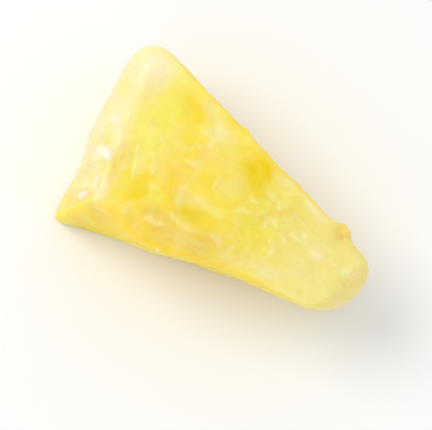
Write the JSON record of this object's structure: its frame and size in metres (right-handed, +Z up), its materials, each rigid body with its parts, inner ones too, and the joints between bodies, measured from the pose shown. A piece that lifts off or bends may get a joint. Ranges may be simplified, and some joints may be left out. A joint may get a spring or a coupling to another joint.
{
  "type": "pineapple chunk",
  "caption": "Wedge-shaped chunk of peeled ripe pineapple, wide at the rind end and narrow at the core end, a bite-sized piece of cut fruit.",
  "frame": {"origin": "middle of the bounding box at the height of the flat base, which is the lower slice face", "axes": "+X along the length from the wide rind end to the narrow core end, +Y across the wedge toward its straighter long side, +Z up through the thickness of the slice"},
  "size_m": [0.0424, 0.0242, 0.0197],
  "materials": {
    "flesh": "wet yellow fruit flesh"
  },
  "bodies": {
    "root": {"pineapple_chunk": "flesh"}
  },
  "joints": []
}
